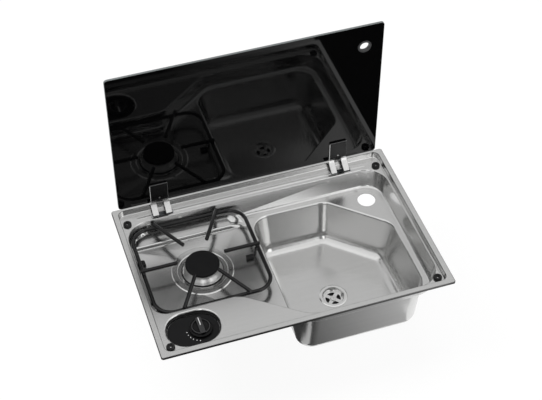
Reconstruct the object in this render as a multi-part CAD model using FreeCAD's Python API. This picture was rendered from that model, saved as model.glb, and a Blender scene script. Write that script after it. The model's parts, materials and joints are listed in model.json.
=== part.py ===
import FreeCAD, Part
import math
import os

V = FreeCAD.Vector

# Hob and sink combination: an inset stainless unit with one gas burner, one bowl and a hinged glass lid.
# Millimetres. The origin is the middle of the unit in the worktop plane, +X right, +Y to the back, +Z up.

# Rim and sheet
unit_width = 600.0
unit_depth = 400.0
rim_height = 5.0
sheet = 0.8
rim_corner_radius = 5.0
rim_edge_radius = 1.6
rim_side = 12.0
rim_front = 12.0
rim_back = 6.5
rim_inner_radius = 1.2

# Recess that takes the closed lid
deck_drop = 13.5
recess_draft = 1.0
recess_corner_radius = 13.0
recess_floor_radius = 1.8
deck_bead_radius = 8.0
deck_bead_height = 0.7
deck_bead_from_side = 50.0

# Well that holds the hob floor and the sink ledge
deck_side = 17.0
deck_back = 37.0
deck_front = 22.0
well_depth = 35.5
well_corner_radius = 48.0
well_left_front_radius = 30.0
well_lip_radius = 2.0
well_floor_radius = 6.0
plateau_depth = 113.0
plateau_length = 188.0
plateau_slope = 0.75
plateau_corner_radius = 40.0
plateau_front_radius = 70.0
well_inset_right = 10.0
well_inset_back = 16.0
well_inset_left = 9.0
well_inset_plateau = 9.0
well_inset_diagonal = 4.0
well_inset_front = 4.0

# Raised shelf behind the burner
shelf_height = 9.0
shelf_depth = 45.0
shelf_length = 232.0
shelf_run = 34.0
shelf_edge_radius = 5.0

# Sink bowl
hob_length = 279.4
ledge_right = 24.0
ledge_back = 33.0
ledge_front = 14.0
bowl_depth = 105.0
bowl_chamfer_width = 113.5
bowl_chamfer_depth = 102.0
bowl_front_chamfer_width = 34.6
bowl_front_chamfer_depth = 26.0
bowl_corner_radius = 38.0
bowl_front_corner_radius = 55.0
bowl_base_corner_radius = 32.0
bowl_front_base_radius = 24.0
bowl_lip_radius = 4.0
bowl_floor_radius = 25.0
bowl_inset_left = 15.0
bowl_inset_right = 12.5
bowl_inset_back = 5.5
bowl_inset_front = 1.5
bowl_inset_chamfer = 5.0
bowl_inset_front_chamfer = 1.0
bowl_seam_drop = 6.0

# Burner
burner_offset = 9.3
burner_hole_radius = 31.0
burner_flange_radius = 41.5
burner_flange_height = 2.5
burner_neck_radius = 30.0
burner_cup_depth = 28.0
burner_wall = 2.5
burner_cup_slope = 6.0
burner_flange_bevel = 1.0
crown_radius = 33.0
crown_base_radius = 40.5
crown_skirt_base = 1.4
crown_skirt_height = 9.5
crown_height = 15.0
crown_wall = 7.0
crown_edge = 0.8
port_count = 36
port_width = 1.8
port_height = 2.6
port_drop = 1.2
cap_radius = 35.0
cap_height = 6.0
cap_edge_radius = 2.5
cap_spigot_depth = 4.0
cap_spigot_gap = 0.4
cap_spigot_wall = 3.6
seal_radius = 43.5
seal_hole_gap = 0.6
seal_height = 1.2
ring_inner_radius = 52.0
ring_outer_radius = 62.0
ring_height = 1.8
ring_slope = 2.2
ring_edge_radius = 1.0
probe_offset = 39.5
probe_radius = 1.6
probe_hole_radius = 2.6
probe_rise = 24.5
probe_below = 16.0
probe_collar_radius = 4.0
probe_collar_height = 3.0

# Pan support of bent and welded wire
support_width = 240.0
support_left_gap = 8.0
support_front_gap = 8.3
support_back_gap = 13.7
support_corner_radius = 36.0
support_wire_radius = 4.0
finger_wire_radius = 4.0
finger_rise = 0.5
finger_inner_radius = 49.0
finger_overhang = 1.0
finger_step_deg = 60.0
finger_count = 6
weld_gap = 0.05
sleeve_radius = 5.0
sleeve_flat = 0.5
sleeve_length = 14.0
sleeve_cap = 2.0
leg_wire_radius = 2.5
leg_bend = 4.5
leg_run = 24.0
leg_weld_rise = 2.0
leg_offset_y = -7.0
leg_top_gap = 0.7
leg_inset = 9.0
leg_front_offset = -77.0
leg_back_offset = 30.0
left_leg_run = 17.0

# Control bezel and its pocket in the plateau
bezel_from_left = 79.5
bezel_from_front = 64.0
bezel_length = 107.0
bezel_width = 80.0
pocket_depth = 12.5
pocket_draft = 1.0
pocket_floor_radius = 0.8
pocket_lip_radius = 3.5
bezel_thickness = 1.5
bezel_gap = 0.9
bezel_edge_radius = 0.6
stem_hole_radius = 9.0

# Knob, valve stem and gas tap
knob_offset = 15.0
knob_radius = 23.0
knob_skirt_height = 3.0
knob_push = 2.0
knob_gap = 0.4
knob_lid_gap = 5.0
grip_width = 11.0
grip_radius = 18.5
grip_drop = 1.5
grip_wall = 2.5
grip_corner_radius = 3.0
grip_edge_radius = 1.0
knob_edge_radius = 1.2
knob_hub_radius = 7.0
knob_hub_depth = 10.0
stem_radius = 4.0
stem_fit = 0.05
stem_roof = 1.8
tap_neck_radius = 10.0
tap_body_radius = 15.0
tap_body_height = 31.0
tap_gap_below_hub = 3.0
tap_spigot = 8.0
plug_rise = 8.0
plug_gap = 0.5
neck_fit = 0.2
bracket_thickness = 1.5
bracket_width = 46.0
bracket_depth = 32.0
bracket_drop = 13.0
neck_nut_radius = 14.0
neck_nut_height = 2.4
stud_radius = 2.0
stud_nut_radius = 3.8
stud_nut_height = 3.0
stud_spacing = 34.0

# Gas pipes
pipe_radius = 4.0
pipe_wall = 0.8
pipe_bend = 18.0
pipe_drop = 23.0
pipe_nut_radius = 7.5
pipe_nut_length = 12.0
inlet_from_left = 38.0
inlet_from_back = 50.0
injector_radius = 6.0
injector_height = 12.0
elbow_shoulder = 1.0
elbow_reach = 16.0
pipe_start_run = 55.0
pipe_end_run = 45.0
lead_radius = 1.2
lead_bend = 9.0
lead_drop = 14.0
lead_gap = 0.1

# Waste
waste_offset_x = 12.2
waste_offset_y = 22.0
waste_hole_radius = 23.0
waste_flange_radius = 30.0
waste_flange_height = 1.6
waste_dish_radius = 21.0
waste_dish_depth = 10.0
waste_wall = 1.2
spoke_width = 8.0
spoke_count = 4
strainer_height = 2.0
strainer_rim = 5.0
strainer_hub_land = 2.0
waste_screw_radius = 3.0
waste_screw_head_radius = 6.0
waste_screw_head_height = 2.4
gasket_height = 3.0
gasket_radius = 30.0
waste_body_radius = 29.0
waste_body_height = 16.0
waste_body_wall = 2.5
waste_body_lip = 3.0
waste_body_slope = 5.0
tail_land = 2.0
tail_radius = 12.5
tail_bore = 10.0
tail_length = 34.0
spider_height = 4.0
spider_width = 4.0

# Corner buffers
buffer_from_side = 25.5
buffer_from_back = 35.5
buffer_from_front = 30.5
buffer_radius = 8.6
buffer_hole_radius = 2.2
buffer_dish_radius = 4.2
buffer_dish_depth = 1.5
buffer_lid_gap = 0.3
buffer_edge_radius = 2.4

# Foam seal under the rim
seal_strip_width = 7.0
seal_strip_gap = 0.2

# Tap hole in the sink ledge
tap_hole_from_right = 50.0
tap_hole_from_back = 55.0
tap_hole_radius = 19.0

# Glass lid
lid_side_gap = 4.0
lid_back_gap = 28.5
glass_thickness = 5.0
glass_corner_radius = 7.0
glass_edge_chamfer = 0.6
lid_foot_above_rim = 3.0
lid_face_from_back = 4.5
lid_front_gap = 3.0
lid_rest_drop = 8.0
finger_hole_from_side = 40.0
finger_hole_from_top = 52.0
finger_hole_radius = 12.7
grommet_flange = 1.6
grommet_flange_height = 1.2
grommet_wall = 2.6
grommet_fit = 0.1

# Hinges
hinge_from_side = 103.0
hinge_leaf_width = 37.0
leaf_rise = 48.0
leaf_thickness = 1.5
leaf_rim_gap = 1.2
leaf_hole_length = 14.0
leaf_hole_height = 4.0
leaf_hole_rise = 4.5
pad_thickness = 0.5
cover_rise = 7.0
cover_height = 45.0
cover_thickness = 2.5
cover_corner_radius = 2.0
cover_edge_radius = 0.8
cover_screw_radius = 2.4
cover_screw_rise = 7.0
cover_screw_height = 0.8
strap_width = 12.0
strap_spacing = 28.0
strap_thickness = 2.0
knuckle_rise = 2.0
knuckle_reach = 3.4
knuckle_drop = 1.4
strap_slot_gap = 5.8
strap_slot_drop = 1.0
strap_heel_reach = 9.5
strap_heel_drop = 3.5
eye_radius = 3.1
pin_radius = 2.0
pin_fit = 0.05
slot_half_width = 23.0
slot_from_back = 20.0
slot_depth = 12.8
slot_corner_radius = 2.0
cheek_thickness = 2.0
bracket_back_gap = 6.5
web_half_width = 41.0
web_thickness = 1.5
web_top_gap = 3.5
web_height = 20.0
rivet_offset = 33.0
rivet_radius = 2.0
rivet_head_radius = 3.4
rivet_head_height = 1.3
rivet_level = 10.0

# Levels worked out from the sizes above
half_width = unit_width / 2
half_depth = unit_depth / 2
deck_z = rim_height - deck_drop
ledge_z = deck_z - well_depth
bowl_z = ledge_z - bowl_depth
pocket_z = deck_z - pocket_depth
bezel_z = pocket_z + bezel_thickness
recess_left = -half_width + rim_side
recess_right = half_width - rim_side
recess_front = -half_depth + rim_front
recess_back = half_depth - rim_back
well_half_width = half_width - deck_side
well_back = half_depth - deck_back
well_front = -half_depth + deck_front
plateau_back = -half_depth + plateau_depth
plateau_corner_x = -half_width + plateau_length
shelf_front = well_back - shelf_depth
shelf_right = -half_width + shelf_length
bowl_left = -half_width + hob_length
bowl_right = well_half_width - ledge_right
bowl_back = well_back - ledge_back
bowl_front = well_front + ledge_front
support_depth = well_back - support_back_gap - plateau_back - support_front_gap
support_x = -well_half_width + support_left_gap + support_width / 2
support_y = plateau_back + support_front_gap + support_depth / 2
burner_x = support_x
burner_y = support_y - burner_offset
finger_top = deck_z + finger_rise
bezel_x = -half_width + bezel_from_left
bezel_y = -half_depth + bezel_from_front
knob_x = bezel_x + knob_offset
inlet_x = -half_width + inlet_from_left
inlet_end_y = half_depth - inlet_from_back
waste_x = (bowl_left + bowl_right) / 2 - waste_offset_x
waste_y = (bowl_front + bowl_back) / 2 - waste_offset_y
buffer_x = half_width - buffer_from_side
buffer_back_y = half_depth - buffer_from_back
buffer_front_y = -half_depth + buffer_from_front
tap_hole_x = well_half_width - tap_hole_from_right
tap_hole_y = well_back - tap_hole_from_back
hinge_x = half_width - hinge_from_side
slot_back = half_depth - slot_from_back
slot_front = slot_back - slot_depth

# The lid stands upright when open, and a quarter turn lays it level in the recess
lid_foot_z = rim_height + lid_foot_above_rim
lid_closed_z = rim_height - lid_rest_drop
lid_face_y = half_depth - lid_face_from_back
closed_front_y = recess_front + lid_front_gap
glass_width = recess_right - recess_left - 2 * lid_side_gap
glass_length = recess_back - lid_back_gap - closed_front_y
pivot_sum = closed_front_y + lid_foot_z + glass_length
pivot_difference = lid_face_y - lid_closed_z
pivot_y = (pivot_sum + pivot_difference) / 2
pivot_z = (pivot_sum - pivot_difference) / 2
finger_hole_x = glass_width / 2 - finger_hole_from_side
finger_hole_z = lid_foot_z + glass_length - finger_hole_from_top
hinge_leaf_top = lid_foot_z + leaf_rise
cover_bottom = lid_foot_z + cover_rise
cover_top = cover_bottom + cover_height


def rounded_wire(points, radii, z):
    """Closed wire at height z through a polygon with each corner replaced by an arc."""
    count = len(points)
    corners = []
    for i in range(count):
        here = V(points[i][0], points[i][1], z)
        to_last = (V(points[i - 1][0], points[i - 1][1], z) - here).normalize()
        following = points[(i + 1) % count]
        to_next = (V(following[0], following[1], z) - here).normalize()
        half_angle = to_last.getAngle(to_next) / 2
        reach = radii[i] / math.tan(half_angle)
        middle = (to_last + to_next).normalize()
        crest = here + middle * (radii[i] / math.sin(half_angle) - radii[i])
        corners.append((here + to_last * reach, crest, here + to_next * reach))
    edges = []
    for i in range(count):
        start, crest, end = corners[i]
        edges.append(Part.Arc(start, crest, end).toShape())
        edges.append(Part.makeLine(end, corners[(i + 1) % count][0]))
    return Part.Wire(edges)


def moved_edges(points, shifts):
    """Polygon, drawn anticlockwise, with the edge after each point moved outwards by its shift."""
    count = len(points)
    lines = []
    for i in range(count):
        x0, y0 = points[i]
        x1, y1 = points[(i + 1) % count]
        length = math.hypot(x1 - x0, y1 - y0)
        dx, dy = (x1 - x0) / length, (y1 - y0) / length
        lines.append((x0 + dy * shifts[i], y0 - dx * shifts[i], dx, dy))
    moved = []
    for i in range(count):
        ax, ay, adx, ady = lines[i - 1]
        bx, by, bdx, bdy = lines[i]
        along = ((bx - ax) * bdy - (by - ay) * bdx) / (adx * bdy - ady * bdx)
        moved.append((ax + adx * along, ay + ady * along))
    return moved


def rectangle(x0, x1, y0, y1):
    return [(x1, y0), (x1, y1), (x0, y1), (x0, y0)]


def plate(points, radii, z0, z1):
    """Flat plate with rounded corners between two levels."""
    return Part.Face(rounded_wire(points, radii, z0)).extrude(V(0, 0, z1 - z0))


def taper(top_points, top_radii, z_top, base_points, base_radii, z_base):
    """Solid with straight sloping sides between two rounded outlines."""
    wires = [rounded_wire(top_points, top_radii, z_top), rounded_wire(base_points, base_radii, z_base)]
    return Part.makeLoft(wires, True, True)


def edges_at(shape, z, keep=None):
    """Edges that lie level at height z, and where keep is given, along that wire."""
    found = []
    for edge in shape.Edges:
        if abs(edge.BoundBox.ZMin - z) > 0.001 or abs(edge.BoundBox.ZMax - z) > 0.001:
            continue
        middle = edge.valueAt((edge.FirstParameter + edge.LastParameter) / 2)
        if keep is None or keep.distToShape(Part.Vertex(middle))[0] < 0.01:
            found.append(edge)
    return found


def cylinder(x, y, z0, z1, radius):
    return Part.makeCylinder(radius, z1 - z0, V(x, y, z0))


def ring(x, y, z0, z1, outer, inner):
    return cylinder(x, y, z0, z1, outer).cut(cylinder(x, y, z0 - 1, z1 + 1, inner))


def cylinder_along_x(x0, x1, y, z, radius):
    return Part.makeCylinder(radius, x1 - x0, V(x0, y, z), V(1, 0, 0))


def hexagon(x, y, z0, z1, radius):
    corners = [V(x + radius * math.cos(math.radians(a)), y + radius * math.sin(math.radians(a)), z0)
               for a in range(0, 361, 60)]
    return Part.Face(Part.makePolygon(corners)).extrude(V(0, 0, z1 - z0))


def revolved(x, y, profile):
    """Solid of revolution about the vertical through (x, y), from (radius, z) points."""
    corners = [V(x + r, y, z) for r, z in profile]
    face = Part.Face(Part.makePolygon(corners + corners[:1]))
    return face.revolve(V(x, y, 0), V(0, 0, 1), 360)


def bent_path(points, bend):
    """Wire of straight runs joined by tangent arcs of one radius."""
    places = [V(*p) for p in points]
    edges = []
    start = places[0]
    for i in range(1, len(places) - 1):
        back = (places[i - 1] - places[i]).normalize()
        ahead = (places[i + 1] - places[i]).normalize()
        half_angle = back.getAngle(ahead) / 2
        reach = bend / math.tan(half_angle)
        middle = (back + ahead).normalize()
        crest = places[i] + middle * (bend / math.sin(half_angle) - bend)
        arc_start = places[i] + back * reach
        arc_end = places[i] + ahead * reach
        edges.append(Part.makeLine(start, arc_start))
        edges.append(Part.Arc(arc_start, crest, arc_end).toShape())
        start = arc_end
    edges.append(Part.makeLine(start, places[-1]))
    return Part.Wire(edges)


def rod(wire, radius):
    """Round bar swept along a wire."""
    first = wire.OrderedEdges[0]
    start = first.valueAt(first.FirstParameter)
    heading = first.tangentAt(first.FirstParameter)
    profile = Part.Wire([Part.makeCircle(radius, start, heading)])
    return wire.makePipeShell([profile], True, True)


def straight_rod(start, end, radius):
    return Part.makeCylinder(radius, (end - start).Length, start, end - start)


def save(name, shape):
    if isinstance(shape, list):
        shape = Part.makeCompound(shape)
    shape.exportStep(os.path.join("parts", name + ".step"))


# Outlines of the pressing, each drawn anticlockwise from its front right corner
well_top = [
    (well_half_width, well_front),
    (well_half_width, well_back),
    (-well_half_width, well_back),
    (-well_half_width, plateau_back),
    (plateau_corner_x, plateau_back),
    (plateau_corner_x + (plateau_back - well_front) / plateau_slope, well_front),
]
well_top_radii = [well_corner_radius, well_corner_radius, well_corner_radius,
                  well_left_front_radius, plateau_corner_radius, plateau_front_radius]
well_corner_signs = [1, 1, 1, 1, -1, 1]
well_insets = [well_inset_right, well_inset_back, well_inset_left,
               well_inset_plateau, well_inset_diagonal, well_inset_front]

bowl_top = [
    (bowl_right, bowl_front),
    (bowl_right, bowl_back - bowl_chamfer_depth),
    (bowl_right - bowl_chamfer_width, bowl_back),
    (bowl_left, bowl_back),
    (bowl_left, bowl_front + bowl_front_chamfer_depth),
    (bowl_left + bowl_front_chamfer_width, bowl_front),
]
bowl_insets = [bowl_inset_right, bowl_inset_chamfer, bowl_inset_back,
               bowl_inset_left, bowl_inset_front_chamfer, bowl_inset_front]
bowl_top_radii = [bowl_corner_radius] * 5 + [bowl_front_corner_radius]
bowl_base_radii = [bowl_base_corner_radius] * 4 + [bowl_front_base_radius] * 2


def stadium(x, y, length, width):
    """Corner points and radii of a slot shape lying along X."""
    points = rectangle(x - length / 2, x + length / 2, y - width / 2, y + width / 2)
    return points, [width / 2 - 0.01] * 4


def recess_space(grow):
    slope = recess_draft / deck_drop
    above = rim_height + deck_drop

    def outline(level):
        inset = (rim_height - level) * slope - grow
        return rectangle(recess_left + inset, recess_right - inset,
                         recess_front + inset, recess_back - inset)

    radii = [recess_corner_radius + grow] * 4
    base = deck_z - grow
    space = taper(outline(above), radii, above, outline(base), radii, base)
    space = space.makeFillet(recess_floor_radius + grow, edges_at(space, base))
    return space.cut(deck_bead(deck_bead_radius - grow))


def deck_bead(radius):
    """Low stiffening bead along the deck behind the well, drawn as the round it is part of."""
    reach = half_width - deck_bead_from_side
    y = (slot_front + slot_back) / 2
    z = deck_z + deck_bead_height - deck_bead_radius
    ends = [Part.makeSphere(radius, V(x, y, z)) for x in (-reach, reach)]
    return cylinder_along_x(-reach, reach, y, z, radius).fuse(ends)


def well_space(grow):
    top = moved_edges(well_top, [grow] * 6)
    base = moved_edges(well_top, [grow - inset for inset in well_insets])
    top_radii = [r + sign * grow for r, sign in zip(well_top_radii, well_corner_signs)]
    base_radii = [r + sign * (grow - well_inset_left) for r, sign in zip(well_top_radii, well_corner_signs)]
    floor = ledge_z - grow
    space = taper(top, top_radii, deck_z - grow, base, base_radii, floor)
    space = space.makeFillet(well_floor_radius + grow, edges_at(space, floor))
    return space.cut(shelf_block(grow, floor)), rounded_wire(top, top_radii, deck_z - grow)


def shelf_block(grow, floor):
    """Step in the hob floor along its back wall, falling away at its right end."""
    top = ledge_z + shelf_height - grow
    front = shelf_front + grow
    back = well_back + 20
    left = -well_half_width - 20
    right = shelf_right + shelf_run
    outline = [V(left, 0, floor - 1), V(left, 0, top), V(shelf_right, 0, top),
               V(right, 0, ledge_z - grow), V(right, 0, floor - 1)]
    block = Part.Face(Part.makePolygon(outline + outline[:1])).extrude(V(0, back - front, 0))
    block.translate(V(0, front, 0))
    crest = [e for e in block.Edges if abs(e.BoundBox.YMax - front) < 0.001
             and abs(e.BoundBox.ZMax - top) < 0.001 and e.BoundBox.XLength > 1]
    return block.makeFillet(shelf_edge_radius, crest)


def bowl_space(grow):
    top = moved_edges(bowl_top, [grow] * 6)
    base = moved_edges(bowl_top, [grow - inset for inset in bowl_insets])
    top_radii = [radius + grow for radius in bowl_top_radii]
    base_radii = [radius + grow for radius in bowl_base_radii]
    floor = bowl_z - grow
    space = taper(top, top_radii, ledge_z - grow, base, base_radii, floor)
    space = space.makeFillet(bowl_floor_radius + grow, edges_at(space, floor))
    return space, rounded_wire(top, top_radii, ledge_z - grow)


def pocket_space(grow):
    top, top_radii = stadium(bezel_x, bezel_y, bezel_length + 2 * grow, bezel_width + 2 * grow)
    narrow = 2 * (grow - pocket_draft)
    base, base_radii = stadium(bezel_x, bezel_y, bezel_length + narrow, bezel_width + narrow)
    floor = pocket_z - grow
    space = taper(top, top_radii, deck_z - grow, base, base_radii, floor)
    space = space.makeFillet(pocket_floor_radius + grow, edges_at(space, floor))
    return space, rounded_wire(top, top_radii, deck_z - grow)


def pressed_space(grow):
    """Everything above the sheet: the inside face at no growth, the underside at one sheet of growth."""
    well, well_edge = well_space(grow)
    bowl, bowl_edge = bowl_space(grow)
    pocket, pocket_edge = pocket_space(grow)
    space = recess_space(grow).fuse([well, bowl, pocket]).removeSplitter()
    space = space.makeFillet(well_lip_radius - grow, edges_at(space, deck_z - grow, well_edge))
    space = space.makeFillet(pocket_lip_radius - grow, edges_at(space, deck_z - grow, pocket_edge))
    return space.makeFillet(bowl_lip_radius - grow, edges_at(space, ledge_z - grow, bowl_edge))


def rim_shell():
    outer_points = rectangle(-half_width, half_width, -half_depth, half_depth)
    block = plate(outer_points, [rim_corner_radius] * 4, 0, rim_height)
    block = block.makeFillet(rim_edge_radius, edges_at(block, rim_height))
    inner_points = moved_edges(outer_points, [-sheet] * 4)
    hollow = plate(inner_points, [rim_corner_radius - sheet] * 4, -1, rim_height - sheet)
    hollow = hollow.makeFillet(rim_edge_radius - sheet, edges_at(hollow, rim_height - sheet))
    return block.cut(hollow)


def buffer_places():
    return [(x, y) for x in (-buffer_x, buffer_x) for y in (buffer_front_y, buffer_back_y)]


def hinge_slot(x):
    points = rectangle(x - slot_half_width, x + slot_half_width, slot_front, slot_back)
    return plate(points, [slot_corner_radius] * 4, deck_z - 5, deck_z + 1)


def well_back_y(z):
    """Place of the well's back wall, on its outside, at a height."""
    fall = (deck_z - sheet - z) / well_depth
    return well_back + sheet - well_inset_back * fall


def wall_direction():
    """Way out of the well, square to its back wall."""
    return V(0, well_depth, -well_inset_back).normalize()


def burner_ring():
    """Raised band pressed in the hob floor round the burner."""
    top = ledge_z + ring_height
    profile = [(ring_inner_radius - ring_slope, ledge_z), (ring_outer_radius + ring_slope, ledge_z),
               (ring_outer_radius, top), (ring_inner_radius, top)]
    band = revolved(burner_x, burner_y, profile)
    return band.makeFillet(ring_edge_radius, edges_at(band, top))


def rivet_places(x):
    level = deck_z - rivet_level
    return [V(x + side * rivet_offset, well_back_y(level), level) for side in (-1, 1)]


def pressing():
    outside = pressed_space(sheet)
    ceiling = Part.makeBox(2 * unit_width, 2 * unit_depth, unit_width,
                           V(-unit_width, -unit_depth, rim_height))
    body = rim_shell().fuse(outside.cut(ceiling))
    body = body.cut(pressed_space(0)).removeSplitter()
    inner_edge = [e for e in edges_at(body, rim_height)
                  if abs(e.BoundBox.XMin) < recess_right + 1 and abs(e.BoundBox.XMax) < recess_right + 1
                  and e.BoundBox.YMin > recess_front - 1 and e.BoundBox.YMax < recess_back + 1]
    body = body.makeFillet(rim_inner_radius, inner_edge)
    raised = burner_ring()
    hollow = raised.copy()
    hollow.translate(V(0, 0, -sheet))
    body = body.fuse(raised).cut(hollow)
    cuts = [cylinder(x, y, deck_z - 5, deck_z + 5, buffer_hole_radius) for x, y in buffer_places()]
    cuts += [hinge_slot(side * hinge_x) for side in (-1, 1)]
    cuts.append(cylinder(burner_x, burner_y, ledge_z - 5, ledge_z + 5, burner_hole_radius))
    cuts.append(cylinder(burner_x - probe_offset, burner_y, ledge_z - 5, ledge_z + 5, probe_hole_radius))
    cuts.append(cylinder(tap_hole_x, tap_hole_y, ledge_z - 5, ledge_z + 5, tap_hole_radius))
    cuts.append(cylinder(knob_x, bezel_y, pocket_z - 5, pocket_z + 5, stem_hole_radius))
    cuts += [cylinder(x, bezel_y, pocket_z - 5, pocket_z + 5, stud_radius) for x in stud_xs()]
    cuts.append(cylinder(waste_x, waste_y, bowl_z - 5, bowl_z + 5, waste_hole_radius))
    for side in (-1, 1):
        for place in rivet_places(side * hinge_x):
            cuts.append(Part.makeCylinder(rivet_radius, 10, place - wall_direction() * 5, wall_direction()))
    body = body.cut(cuts)
    below = Part.makeBox(2 * unit_width, 2 * unit_depth, unit_width,
                         V(-unit_width, -unit_depth, ledge_z - bowl_seam_drop - unit_width))
    return body.cut(below), body.common(below)


def flange_seal():
    outer = rectangle(-half_width + sheet, half_width - sheet, -half_depth + sheet, half_depth - sheet)
    radius = rim_corner_radius - sheet
    height = rim_height - sheet - (rim_edge_radius - sheet)
    strip = plate(moved_edges(outer, [-seal_strip_gap] * 4), [radius] * 4, 0, height)
    width = [-seal_strip_width, -(rim_back - 2 * sheet), -seal_strip_width, -seal_strip_width]
    inside = plate(moved_edges(outer, width), [radius] * 4, -1, height + 1)
    return strip.cut(inside)


def buffers():
    top = lid_closed_z - buffer_lid_gap
    made = []
    for x, y in buffer_places():
        disc = cylinder(x, y, deck_z, top, buffer_radius)
        disc = disc.makeFillet(buffer_edge_radius, edges_at(disc, top))
        disc = disc.cut(cylinder(x, y, top - buffer_dish_depth, top + 1, buffer_dish_radius))
        made.append(disc.cut(cylinder(x, y, deck_z - 1, top + 1, buffer_hole_radius)))
    return made


def bezel():
    inset = 2 * (bezel_gap + pocket_draft)
    points, radii = stadium(bezel_x, bezel_y, bezel_length - inset, bezel_width - inset)
    panel = plate(points, radii, pocket_z, bezel_z)
    panel = panel.makeFillet(bezel_edge_radius, edges_at(panel, bezel_z))
    return panel.cut(cylinder(knob_x, bezel_y, pocket_z - 1, bezel_z + 1, stem_hole_radius))


# Knob, stem and tap
knob_base_z = bezel_z + knob_push + knob_gap
knob_top_z = lid_closed_z - knob_lid_gap
hub_base_z = knob_base_z - knob_hub_depth
stem_top_z = knob_top_z - stem_roof - knob_push - knob_gap
tap_top_z = hub_base_z - knob_push - tap_gap_below_hub
bracket_top_z = pocket_z - sheet
tap_shoulder_z = bracket_top_z - bracket_drop
tap_base_z = tap_shoulder_z - tap_body_height
pipe_z = tap_shoulder_z - pipe_drop
tap_face = tap_body_radius + tap_spigot


def stud_xs():
    return [knob_x - stud_spacing / 2, knob_x + stud_spacing / 2]


def knob():
    skirt = cylinder(knob_x, bezel_y, knob_base_z, knob_base_z + knob_skirt_height, knob_radius)
    skirt = skirt.makeFillet(knob_edge_radius, edges_at(skirt, knob_base_z + knob_skirt_height))
    core_top = knob_top_z - grip_drop
    core = cylinder(knob_x, bezel_y, knob_base_z, core_top, grip_radius)
    core = core.makeFillet(knob_edge_radius, edges_at(core, core_top))
    bar = plate(rectangle(knob_x - grip_width / 2, knob_x + grip_width / 2,
                          bezel_y - grip_radius, bezel_y + knob_radius - 1.0),
                [grip_corner_radius] * 4, knob_base_z, knob_top_z)
    bar = bar.makeFillet(grip_edge_radius, edges_at(bar, knob_top_z))
    scoop_floor = knob_base_z + knob_skirt_height + 0.6
    scoop = ring(knob_x, bezel_y, scoop_floor, knob_top_z + 1, grip_radius - grip_wall, grip_width / 2 - 2)
    body = skirt.fuse(core.cut(scoop)).fuse(bar)
    hub = cylinder(knob_x, bezel_y, hub_base_z, knob_base_z + 1, knob_hub_radius)
    body = body.fuse(hub).removeSplitter()
    return body.cut(stem_profile(stem_radius + stem_fit, hub_base_z - 1, knob_top_z - stem_roof))


def stem_profile(radius, z0, z1):
    """Round bar with one flat, which turns with the knob and lets it slide."""
    bar = cylinder(knob_x, bezel_y, z0, z1, radius)
    flat = Part.makeBox(4 * radius, radius, z1 - z0, V(knob_x - 2 * radius, bezel_y - 1.7 * radius, z0))
    return bar.cut(flat)


def valve_stem():
    upper = stem_profile(stem_radius, tap_top_z, stem_top_z)
    lower = cylinder(knob_x, bezel_y, tap_base_z + plug_rise, tap_top_z, stem_radius)
    return upper.fuse(lower).removeSplitter()


def gas_tap():
    neck = cylinder(knob_x, bezel_y, tap_shoulder_z, tap_top_z, tap_neck_radius)
    body = cylinder(knob_x, bezel_y, tap_base_z, tap_shoulder_z, tap_body_radius)
    body = body.makeFillet(2.0, edges_at(body, tap_base_z))
    outlet = Part.makeCylinder(pipe_nut_radius, tap_face, V(knob_x, bezel_y, pipe_z), V(0, 1, 0))
    inlet = Part.makeCylinder(pipe_nut_radius, tap_face, V(knob_x, bezel_y, pipe_z), V(-1, 0, 0))
    body = body.fuse([neck, outlet, inlet]).removeSplitter()
    bore_base = tap_base_z + plug_rise - plug_gap
    return body.cut(cylinder(knob_x, bezel_y, bore_base, tap_top_z + 1, stem_radius + stem_fit))


def tap_bracket():
    x0, x1 = knob_x - bracket_width / 2, knob_x + bracket_width / 2
    y0, y1 = bezel_y - bracket_depth / 2, bezel_y + bracket_depth / 2
    upper = Part.makeBox(x1 - x0, y1 - y0, bracket_thickness, V(x0, y0, bracket_top_z - bracket_thickness))
    lower = Part.makeBox(x1 - x0, y1 - y0, bracket_thickness, V(x0, y0, tap_shoulder_z))
    legs = [Part.makeBox(bracket_thickness, y1 - y0, bracket_drop, V(x, y0, tap_shoulder_z))
            for x in (x0, x1 - bracket_thickness)]
    body = upper.fuse([lower] + legs).removeSplitter()
    body = body.cut(cylinder(knob_x, bezel_y, bracket_top_z - 5, bracket_top_z + 1, stem_hole_radius + 3))
    neck = cylinder(knob_x, bezel_y, tap_shoulder_z - 1, tap_shoulder_z + 5, tap_neck_radius + neck_fit)
    body = body.cut(neck)
    holes = [cylinder(x, bezel_y, bracket_top_z - 5, bracket_top_z + 1, stud_radius) for x in stud_xs()]
    return body.cut(holes)


def neck_nut():
    z0 = tap_shoulder_z + bracket_thickness
    nut = hexagon(knob_x, bezel_y, z0, z0 + neck_nut_height, neck_nut_radius)
    return nut.cut(cylinder(knob_x, bezel_y, z0 - 1, z0 + 10, tap_neck_radius))


def bracket_studs():
    """Weld studs through the pocket floor, each with its nut under the bracket."""
    made = []
    base = bracket_top_z - bracket_thickness
    for x in stud_xs():
        shank = cylinder(x, bezel_y, base - stud_nut_height, pocket_z, stud_radius)
        nut = hexagon(x, bezel_y, base - stud_nut_height, base, stud_nut_radius)
        made.append(shank.fuse(nut).removeSplitter())
    return made


# Burner levels
flange_base_z = ledge_z + seal_height
flange_top_z = flange_base_z + burner_flange_height
crown_top_z = flange_top_z + crown_height
cup_base_z = flange_base_z - burner_cup_depth
injector_base_z = cup_base_z - injector_height
burner_pipe_z = injector_base_z - elbow_shoulder - pipe_nut_radius


def probe_notch():
    """Room for the thermocouple through the seal, the flange and the crown's skirt."""
    return cylinder(burner_x - probe_offset, burner_y, ledge_z - 1, crown_top_z + 1, probe_hole_radius)


def burner_seal():
    body = ring(burner_x, burner_y, ledge_z, flange_base_z, seal_radius, burner_hole_radius + seal_hole_gap)
    return body.cut(probe_notch())


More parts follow.
